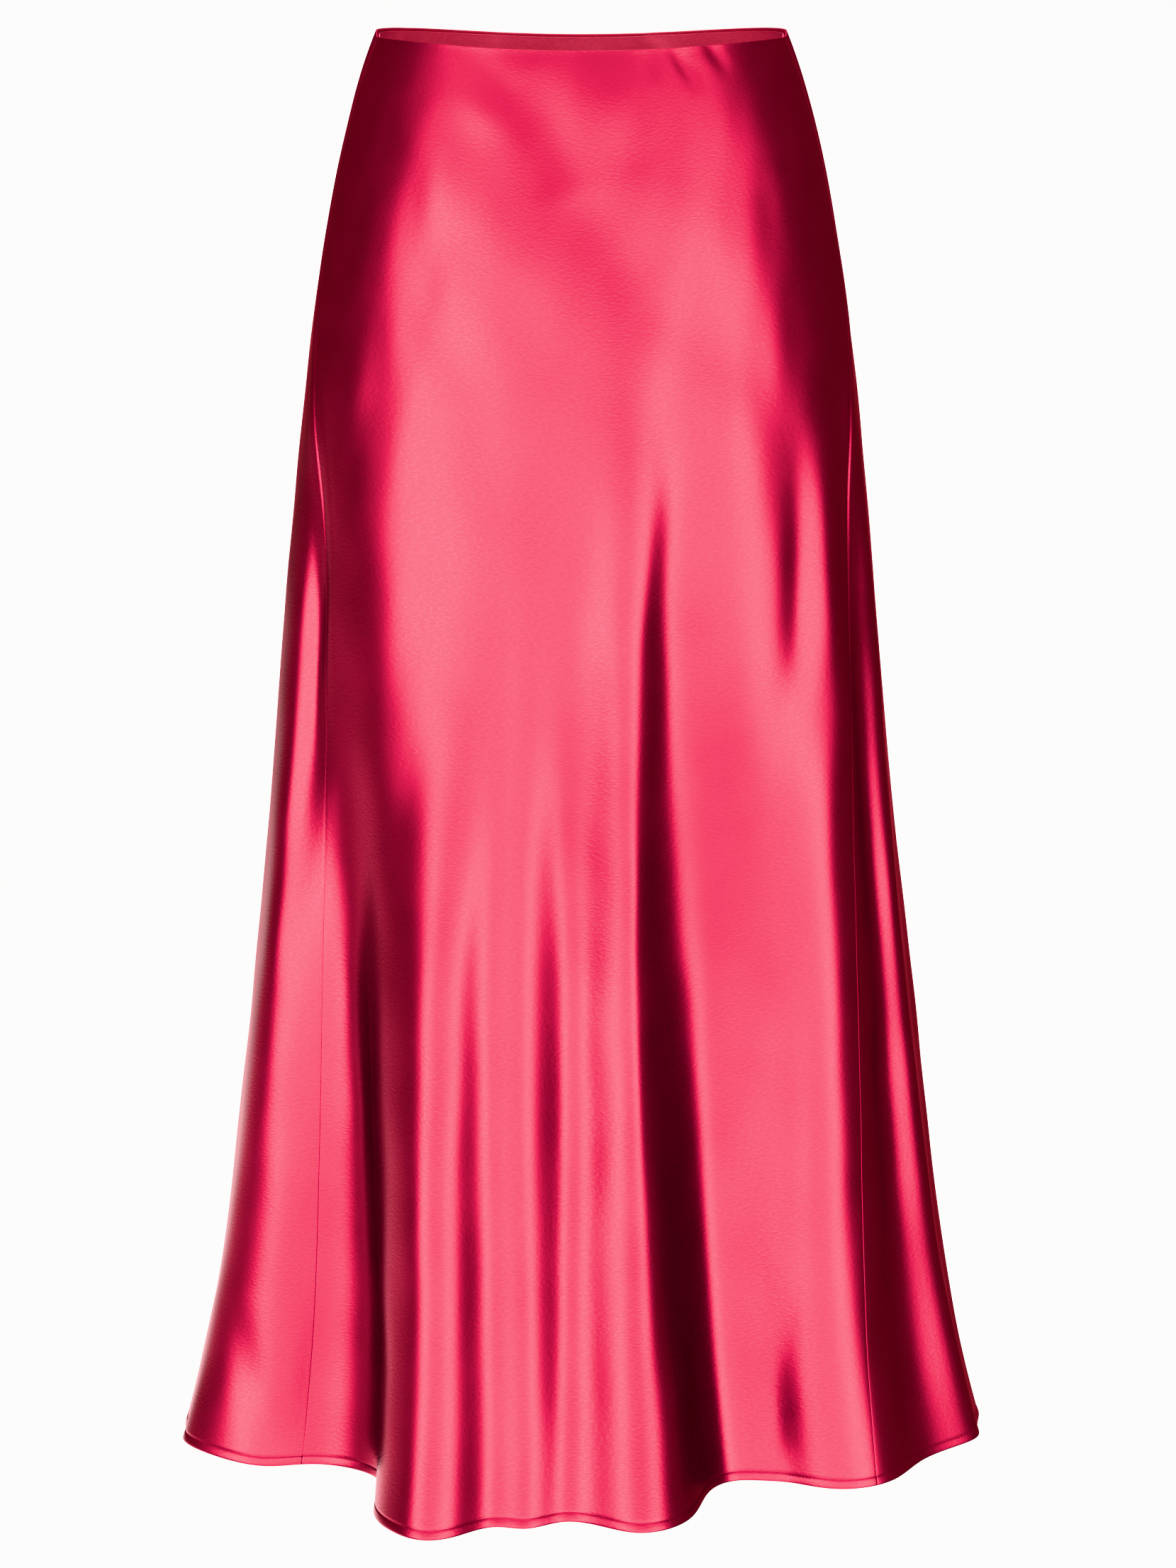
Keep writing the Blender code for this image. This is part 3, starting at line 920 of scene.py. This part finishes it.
def satin(name, colour, dark, roughness, metallic, index, grain):
    """Satin seen on its own cut: weave at 45 degrees, fine grain, slow clouds."""
    look = material(name)
    kit = Nodes(look.node_tree)
    shader = look.node_tree.nodes["Principled BSDF"]
    cut = kit.add("ShaderNodeUVMap", uv_map="cut").outputs[0]
    bias = kit.add("ShaderNodeMapping", {"Vector": cut, "Rotation": BIAS}).outputs[0]
    drawn = kit.add("ShaderNodeMapping", {"Vector": cut, "Rotation": BIAS, "Scale": FLOAT_STRETCH}).outputs[0]
    floats = kit.add(
        "ShaderNodeTexNoise", {"Vector": drawn, "Scale": 1 / FLOAT_SIZE, "Detail": 2.0, "Roughness": 0.6},
        noise_dimensions="2D",
    )
    clouds = kit.add(
        "ShaderNodeTexNoise", {"Vector": cut, "Scale": 1 / CLOUD_SIZE, "Detail": 2.0}, noise_dimensions="2D",
    )
    weave = kit.add(
        "ShaderNodeTexWave",
        {"Vector": bias, "Scale": 1 / (2 * math.pi * YARN) / 3.2, "Distortion": 0.6, "Detail": 1.0},
        wave_type="BANDS", bands_direction="X",
    )
    grains = kit.spread(floats.outputs[0], 0.3, 0.7, 0.0, 1.0)
    cloudy = kit.spread(clouds.outputs[0], 0.3, 0.7, 0.0, 1.0)
    tone = kit.math("ADD", kit.math("MULTIPLY", grains, 0.6), kit.math("MULTIPLY", cloudy, 0.4))
    mix = kit.add("ShaderNodeMix", data_type="RGBA")
    kit.give(mix.inputs["Factor"], tone)
    kit.give(mix.inputs["A"], (*dark, 1))
    kit.give(mix.inputs["B"], (*colour, 1))
    rough = kit.math("ADD", kit.math("MULTIPLY", grains, -0.05), kit.math("MULTIPLY", cloudy, 0.03))
    height = kit.math("ADD", kit.math("MULTIPLY", grains, 1.0), kit.math("MULTIPLY", weave.outputs[1], 0.25))
    bump = kit.add("ShaderNodeBump", {"Strength": grain, "Distance": SATIN_BUMP, "Height": height})
    for socket, value in (
        ("Metallic", metallic), ("IOR", index), ("Base Color", mix.outputs["Result"]),
        ("Roughness", kit.math("ADD", rough, roughness + 0.01)), ("Normal", bump.outputs[0]),
    ):
        kit.give(shader.inputs[socket], value)
    return look


SATINS = (
    satin("satin", (0.54, 0.0165, 0.069), (0.48, 0.0125, 0.057), 0.29, 0.89, 2.0, 0.5),
    satin("satin_inside", (0.46, 0.014, 0.05), (0.38, 0.010, 0.038), 0.52, 0.45, 1.6, 0.6),
    # The facing's satin is the cloth's colour painted far lighter. This is painted light, so the shaded inside of
    # the waist looks lit.
    satin("facing_satin", (0.95, 0.10, 0.18), (0.78, 0.065, 0.13), 0.42, 0.25, 1.6, 0.6),
)
print("satins:", [look.name for look in SATINS])

# %% The thread
THREAD_TWIST = 0.5 * MM
THREAD_BUMP = 0.03 * MM

thread = material("thread")
kit = Nodes(thread.node_tree)
shader = thread.node_tree.nodes["Principled BSDF"]
place = kit.add("ShaderNodeTexCoord").outputs["Object"]
twist = kit.add("ShaderNodeTexNoise", {"Vector": place, "Scale": 1 / THREAD_TWIST}).outputs[0]
tint = kit.add("ShaderNodeMix", data_type="RGBA")
kit.give(tint.inputs["Factor"], twist)
kit.give(tint.inputs["A"], (0.26, 0.006, 0.024, 1))
kit.give(tint.inputs["B"], (0.48, 0.016, 0.050, 1))
fine = kit.add("ShaderNodeBump", {"Strength": 0.3, "Distance": THREAD_BUMP, "Height": twist})
kit.give(shader.inputs["Base Color"], tint.outputs["Result"])
kit.give(shader.inputs["Roughness"], kit.spread(twist, 0.3, 0.7, 0.4, 0.6))
kit.give(shader.inputs["Normal"], fine.outputs[0])
print("thread:", len(thread.node_tree.nodes), "nodes")

# %% [markdown]
# ## The studio
# Satin shows its light more than its colour, so the light is shaped after the highlights of the picture. Lamps
# would leave spots with hard edges, so the world itself is the lamp: its brightness fades with the turn
# round the skirt and the height over the horizon. A wide bright surround stands in front, with a stronger panel
# on each side. It fades past the sides, high up, and low down most of all on the left: those fades draw the dark
# bands of the satin. Soft light falls from overhead, a fill comes up from the left, and it glows dark red
# behind. Two weak lamps high up behind keep the back readable.

# %% Directions round the skirt
scene = bpy.context.scene
scene.world = bpy.data.worlds.new("surround")
scene.world.use_nodes = True
scene.world.node_tree.nodes.clear()
kit = Nodes(scene.world.node_tree)
way = kit.add("ShaderNodeSeparateXYZ", {0: kit.add("ShaderNodeTexCoord").outputs["Generated"]})
turn = kit.math("ARCTAN2", way.outputs["X"], kit.math("MULTIPLY", way.outputs["Y"], -1.0))
side = kit.math("ABSOLUTE", turn)
height = kit.math("ARCSINE", way.outputs["Z"])


def fade(angle, span, first, last, smooth=True):
    """From the first value to the last while an angle passes a span in degrees."""
    start, end = (math.radians(degrees) for degrees in span)
    return kit.spread(angle, start, end, first, last, smooth)


def panel_light(centre, width, power):
    """A soft bright panel round a turn, in degrees from the front."""
    off = kit.math("MULTIPLY", kit.math("SUBTRACT", turn, math.radians(centre)), 1 / math.radians(width))
    fall = kit.math("POWER", math.e, kit.math("MULTIPLY", kit.math("MULTIPLY", off, off), -1.0))
    return kit.math("MULTIPLY", fall, power)


# %% Where the surround ends
SURROUND_EDGE = (54, 83)
WRAP_SPAN = (-60, 40)  # above this height it reaches further round, and more so on the left
WRAPS = (0.55, 0.1)
WRAP_FROM = 4
DRAW_IN_FROM = 5  # below this height it draws in a little, and low on the left a lot
DRAW_IN_MOST = 3
NARROW_SPAN = (-14, -3)
NARROW_MOST = 14
LEFT_SPAN = (-30, -10)

over = kit.math("MAXIMUM", kit.math("SUBTRACT", height, math.radians(WRAP_FROM)), 0.0)
above = kit.math("MULTIPLY", over, fade(turn, WRAP_SPAN, *WRAPS, smooth=False))
below = kit.math("MAXIMUM", kit.math("SUBTRACT", math.radians(DRAW_IN_FROM), height), 0.0)
below = kit.math("MINIMUM", below, math.radians(DRAW_IN_MOST))
narrow = fade(height, NARROW_SPAN, math.radians(NARROW_MOST), 0.0, smooth=False)
narrow = kit.math("MULTIPLY", narrow, fade(turn, LEFT_SPAN, 1.0, 0.0, smooth=False))
below = kit.math("SUBTRACT", below, narrow)
reach = kit.math("SUBTRACT", kit.math("SUBTRACT", side, above), below)
edge = fade(reach, SURROUND_EDGE, 1.0, 0.0)

# %% How bright the surround is
CENTRE_LIGHT = 2.6
LEFT_LIGHT = 1.5
RIGHT_LIGHT = 1.1
PANEL_TURN = 52
PANEL_WIDTH = 20
LEVEL_LIGHT = 1.5
HIGH_LIGHT = 0.45
HIGH_SPAN = (1, 18)
LOW_LEFT_LIGHT = 0.3
LOW_RIGHT_LIGHT = 0.85
LOW_SPAN = (-21.5, -11)
LOW_TURNS = (-62, -25)
LEFT_FILL = 2.2
FILL_TURN = -140
FILL_WIDTH = 42
FILL_SPAN = (-18, -5)
TOP_LIGHT = 2.5
TOP_SPAN = (40, 70)

high = fade(height, HIGH_SPAN, LEVEL_LIGHT, HIGH_LIGHT)
loss = kit.math("SUBTRACT", LEVEL_LIGHT, fade(turn, LOW_TURNS, LOW_LEFT_LIGHT, LOW_RIGHT_LIGHT, smooth=False))
low = kit.math("SUBTRACT", LEVEL_LIGHT, kit.math("MULTIPLY", loss, fade(height, LOW_SPAN, 1.0, 0.0)))
edge = kit.math("MULTIPLY", edge, kit.math("MINIMUM", high, low))
panels = kit.math(
    "ADD", panel_light(-PANEL_TURN, PANEL_WIDTH, LEFT_LIGHT), panel_light(PANEL_TURN, PANEL_WIDTH, RIGHT_LIGHT),
)
front = kit.math("MULTIPLY", kit.math("ADD", panels, CENTRE_LIGHT), edge)
fill = kit.math("MULTIPLY", panel_light(FILL_TURN, FILL_WIDTH, LEFT_FILL), fade(height, FILL_SPAN, 1.0, 0.0))
front = kit.math("ADD", kit.math("ADD", front, fill), fade(height, TOP_SPAN, 0.0, TOP_LIGHT))
print("surround:", len(scene.world.node_tree.nodes), "nodes")

# %% The colours of the surround
DARK = (0.12, 0.04, 0.04)  # everywhere
DARK_SIDE = (0.0, 0.16, 0.08)  # added in front of the skirt's sides
AHEAD_SPAN = (90, 130)
BEHIND = (0.9, 0.12, 0.17)
BEHIND_SPAN = (152, 176)
BACKDROP = 2.6


def glow(colour, strength):
    """Light of one colour, as strong as a number or a node says."""
    return kit.add("ShaderNodeBackground", {"Color": (*colour, 1), "Strength": strength}).outputs[0]


def together(first, second):
    """Two lights at once."""
    return kit.add("ShaderNodeAddShader", {0: first, 1: second}).outputs[0]


sky = together(glow(DARK, 1.0), glow(DARK_SIDE, fade(side, AHEAD_SPAN, 1.0, 0.0)))
sky = together(glow((1, 1, 1), front), sky)
sky = together(sky, glow(BEHIND, fade(side, BEHIND_SPAN, 0.0, 1.0)))
backdrop = kit.add("ShaderNodeBackground", {"Strength": BACKDROP}).outputs[0]
seen = kit.add("ShaderNodeLightPath").outputs["Is Camera Ray"]
both = kit.add("ShaderNodeMixShader", {0: seen, 1: sky, 2: backdrop}).outputs[0]
kit.add("ShaderNodeOutputWorld", {0: both})

# %% The floor and the lamps
FLOOR = -1.04
FLOOR_HALF = 40.0
FLOOR_GLOW = 2.4
LAMP_POWER = 60
LAMP_SIZE = 1.2
LAMP_PLACE = (1.1, 2.0, 2.2)
LAMP_TILT = -48
LAMP_TURN = 28

mesh = bpy.data.meshes.new("floor")
corners = [(x * FLOOR_HALF, y * FLOOR_HALF, FLOOR) for x, y in ((-1, -1), (1, -1), (1, 1), (-1, 1))]
mesh.from_pydata(corners, [], [(0, 1, 2, 3)])
floor = bpy.data.objects.new("floor", mesh)
scene.collection.objects.link(floor)
pale = material("pale_floor")
for name, value in (
    ("Base Color", (0.2, 0.2, 0.2, 1)), ("Roughness", 0.9), ("Emission Color", (1, 1, 1, 1)),
    ("Emission Strength", FLOOR_GLOW),
):
    pale.node_tree.nodes["Principled BSDF"].inputs[name].default_value = value
mesh.materials.append(pale)
floor.visible_glossy = False
floor.visible_diffuse = False
print("floor at", FLOOR)

for name, way_round in (("lamp_behind_left", -1), ("lamp_behind_right", 1)):
    lamp = bpy.data.lights.new(name, "AREA")
    lamp.energy = LAMP_POWER
    lamp.size = LAMP_SIZE
    hung = bpy.data.objects.new(name, lamp)
    hung.location = (LAMP_PLACE[0] * way_round, *LAMP_PLACE[1:])
    hung.rotation_euler = (math.radians(LAMP_TILT), 0, math.radians(LAMP_TURN) * way_round)
    scene.collection.objects.link(hung)
    hung.visible_glossy = False

# %% [markdown]
# ## The camera
# The picture was taken from about 3 m away, a little above the waist and looking down. The camera stands there,
# and its lens is as long as the picture's frame asks.

# %% The camera
LENS = 118.4
SENSOR = 36
EYE = (0.0039, -3.0, 0.141)
LOOKING_DOWN = 10.95
SEEN_TO = 200

camera = bpy.data.cameras.new("camera")
camera.lens = LENS
camera.sensor_width = SENSOR
camera.sensor_fit = "AUTO"
camera.clip_end = SEEN_TO
eye = bpy.data.objects.new("camera", camera)
eye.location = EYE
eye.rotation_euler = (math.radians(90 - LOOKING_DOWN), 0, 0)
scene.collection.objects.link(eye)
scene.camera = eye
scene.view_settings.view_transform = "Khronos PBR Neutral"
scene.cycles.glossy_bounces = 0
print("camera at", EYE)

# %% [markdown]
# ## The pieces on the body
# Every piece rides on the one body. The solid panels and facings are hidden, and the cloth shows in their place.

# %% Each piece on the body, the solids hidden
shown = (front_cloth, back_cloth, front_hem, back_hem, facing_front, facing_back, front_stitches, back_stitches)
for piece in shown:
    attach(piece, "root")
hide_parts("front_panel")
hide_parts("back_panel")
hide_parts("waist_facing_front")
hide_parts("waist_facing_back")
